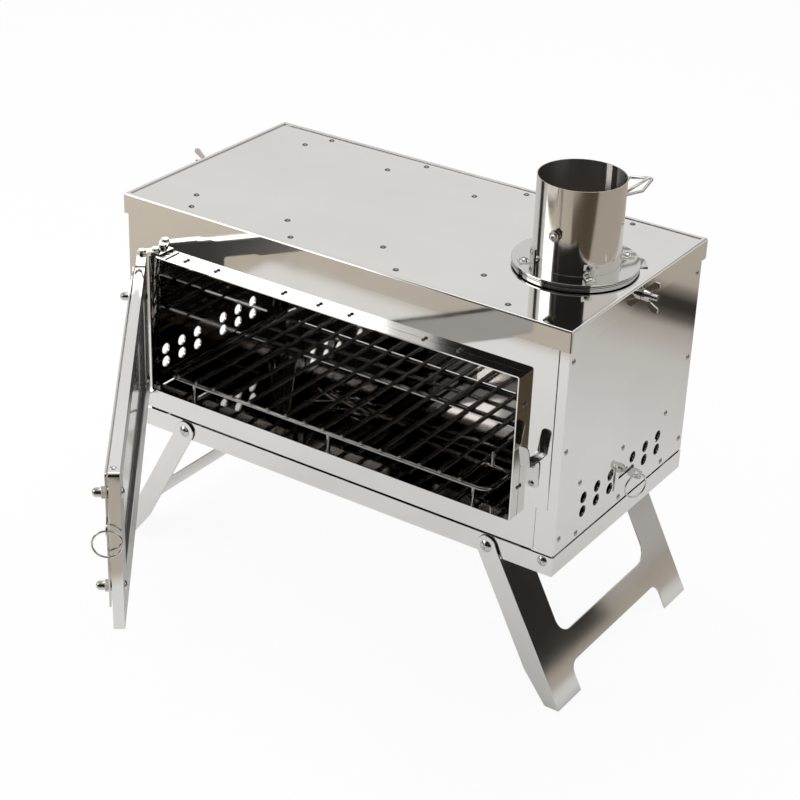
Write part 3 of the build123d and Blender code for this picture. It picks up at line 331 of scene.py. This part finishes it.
# Towards the back edge the sheet's tone falls in painted shade, and the gap beyond holds a painted shadow.
steps = ((-REACH, BEIGE), (FRONT - 0.004, BEIGE), (FRONT + 0.004, PAPER), (0.30, PAPER), (0.50, SHEET_END_SHADE),
         (BACK - 0.03, SHEET_END_DARK_SHADE), (BACK, GAP), (BACK + 0.05, GAP), (BACK + 0.09, BEIGE), (REACH, BEIGE))
colour = n.ramp(n.spread(y, -REACH, REACH), [((at + REACH) / (2 * REACH), tone) for at, tone in steps])
colour = n.mixed(n.edge(x, RIGHT, 0.02), colour, (*BEIGE, 1))
colour = n.mixed(n.edge(x, LEFT, -0.01), colour, (*BEIGE, 1))
brown_depth = n.product(n.edge(y, BROWN_BACK, -0.01), n.edge(y, BROWN_FRONT, 0.02))
colour = n.mixed(n.product(n.edge(x, BROWN_LEFT, 0.01), brown_depth), colour, (*BROWN, 1))
grey_patch = n.product(n.edge(x, GREY_RIGHT, -0.02), n.edge(y, GREY_FRONT, 0.02))
colour = n.mixed(grey_patch, colour, (*GREY, 1))
seen = n.add("ShaderNodeLightPath").outputs["Is Camera Ray"]
matt = n.add("ShaderNodeBsdfDiffuse", {"Color": n.mixed(seen, colour, (1, 1, 1, 1))})
lit = n.add("ShaderNodeEmission", {"Color": (1, 1, 1, 1), "Strength": 1.0})
coat = n.add("ShaderNodeMixShader", {0: n.product(seen, WHITE_SHARE), 1: matt.outputs[0], 2: lit.outputs[0]})
stage_plane("floor", [(-REACH, -REACH, GROUND), (REACH, -REACH, GROUND), (REACH, REACH, GROUND),
                      (-REACH, REACH, GROUND)], n.surface(coat))


def card(name, centre, size, colour, glow=0.0):
    """A studio card that stands upright and faces the stove; only the polished steel and the glass see it."""
    centre = Vector(centre)
    up = Vector((0, 0, 1))
    across = up.cross(centre.normalized()).normalized()
    w, h = size[0] / 2, size[1] / 2
    corners = [centre + across * w * i + up * h * j for i, j in ((-1, -1), (1, -1), (1, 1), (-1, 1))]
    n = material(name + "_card")
    if glow:
        coat = n.add("ShaderNodeEmission", {"Color": (*colour, 1), "Strength": glow})
    else:
        coat = n.add("ShaderNodeBsdfDiffuse", {"Color": (*colour, 1)})
    obj = stage_plane(name, [tuple(c) for c in corners], n.surface(coat))
    obj.visible_camera = False
    obj.visible_shadow = False
    obj.visible_diffuse = False


# Black cards stand behind the camera, at its left and at the stove's left side. A lower one stands at the
# right.
card("dark_card", (0.70, -1.62, 1.10), (2.6, 2.2), (0.022, 0.021, 0.019))
card("front_card", (-0.71, -1.90, 1.10), (0.54, 2.2), (0.022, 0.021, 0.019))
card("left_card", (-1.75, -0.12, 1.0), (0.5, 1.2), (0.02, 0.02, 0.02))
card("right_card", (1.66, 0.97, 0.27), (0.94, 0.62), (0.035, 0.032, 0.03))


def lamp(name, place, size, power):
    """A square softbox that faces the middle of the stove."""
    light = bpy.data.lights.new(name, "AREA")
    light.shape = "RECTANGLE"
    light.size = light.size_y = size
    light.energy = power
    obj = bpy.data.objects.new(name, light)
    obj.location = place
    obj.rotation_euler = (Vector((0, 0, 0.2)) - Vector(place)).to_track_quat("-Z", "Y").to_euler()
    bpy.context.scene.collection.objects.link(obj)
    return obj


# The left softbox lights the stove. Its image in the steel comes from a card that covers only its upper part.
left_softbox = lamp("left_softbox", (-1.35, -1.25, 0.95), 1.1, 13)
left_softbox.visible_glossy = False
left_softbox.visible_transmission = False
card("softbox_face", (-1.35, -1.25, 1.15), (1.1, 0.70), (1.0, 0.995, 0.985), 3.0)
lamp("top_softbox", (-0.2, 0.4, 2.0), 1.4, 10)

# The room has a warm lower half, a dark band above the horizon, bright walls and a darker ceiling. The camera
# sees plain white instead.
room_stops = [(0.0, (0.30, 0.27, 0.24)), (0.44, (0.34, 0.31, 0.27)), (0.485, (0.22, 0.20, 0.18)),
              (0.50, (0.50, 0.48, 0.46)), (0.515, (0.40, 0.38, 0.36)), (0.53, (0.10, 0.095, 0.09)),
              (0.58, (0.12, 0.115, 0.11)), (0.64, (0.80, 0.80, 0.795)), (0.75, (0.92, 0.92, 0.915)),
              (0.84, (0.86, 0.86, 0.86)), (0.90, (0.30, 0.30, 0.30)), (1.0, (0.62, 0.62, 0.62))]
n = Nodes(bpy.data.worlds.new("studio"), "ShaderNodeOutputWorld")
split = n.add("ShaderNodeSeparateXYZ", {0: n.add("ShaderNodeTexCoord").outputs["Generated"]})
sky = n.ramp(n.spread(split.outputs["Z"], -1.0, 1.0), room_stops)
room = n.add("ShaderNodeBackground", {"Color": sky, "Strength": 1.0})
white = n.add("ShaderNodeBackground", {"Color": (1, 1, 1, 1)})
seen = n.add("ShaderNodeLightPath").outputs["Is Camera Ray"]
both = n.add("ShaderNodeMixShader", {0: seen, 1: room.outputs[0], 2: white.outputs[0]})
bpy.context.scene.world = n.surface(both)

camera_data = bpy.data.cameras.new("camera")
camera = bpy.data.objects.new("camera", camera_data)
bpy.context.scene.collection.objects.link(camera)
camera_data.sensor_width = 36.0
camera_data.lens = 89.6475
camera_data.clip_end = 20.0
right = Vector((0.82817973, 0.55938329, 0.03476589))
down = Vector((0.28752342, -0.37080098, -0.88308375))
forward = Vector((-0.48109107, 0.74134807, -0.46792566))
turn = Matrix((right, -down, -forward)).transposed().to_4x4()
camera.matrix_world = Matrix.Translation((0.8220, -1.2741, 0.9641)) @ turn
bpy.context.scene.camera = camera

bpy.context.scene.view_settings.view_transform = "Standard"
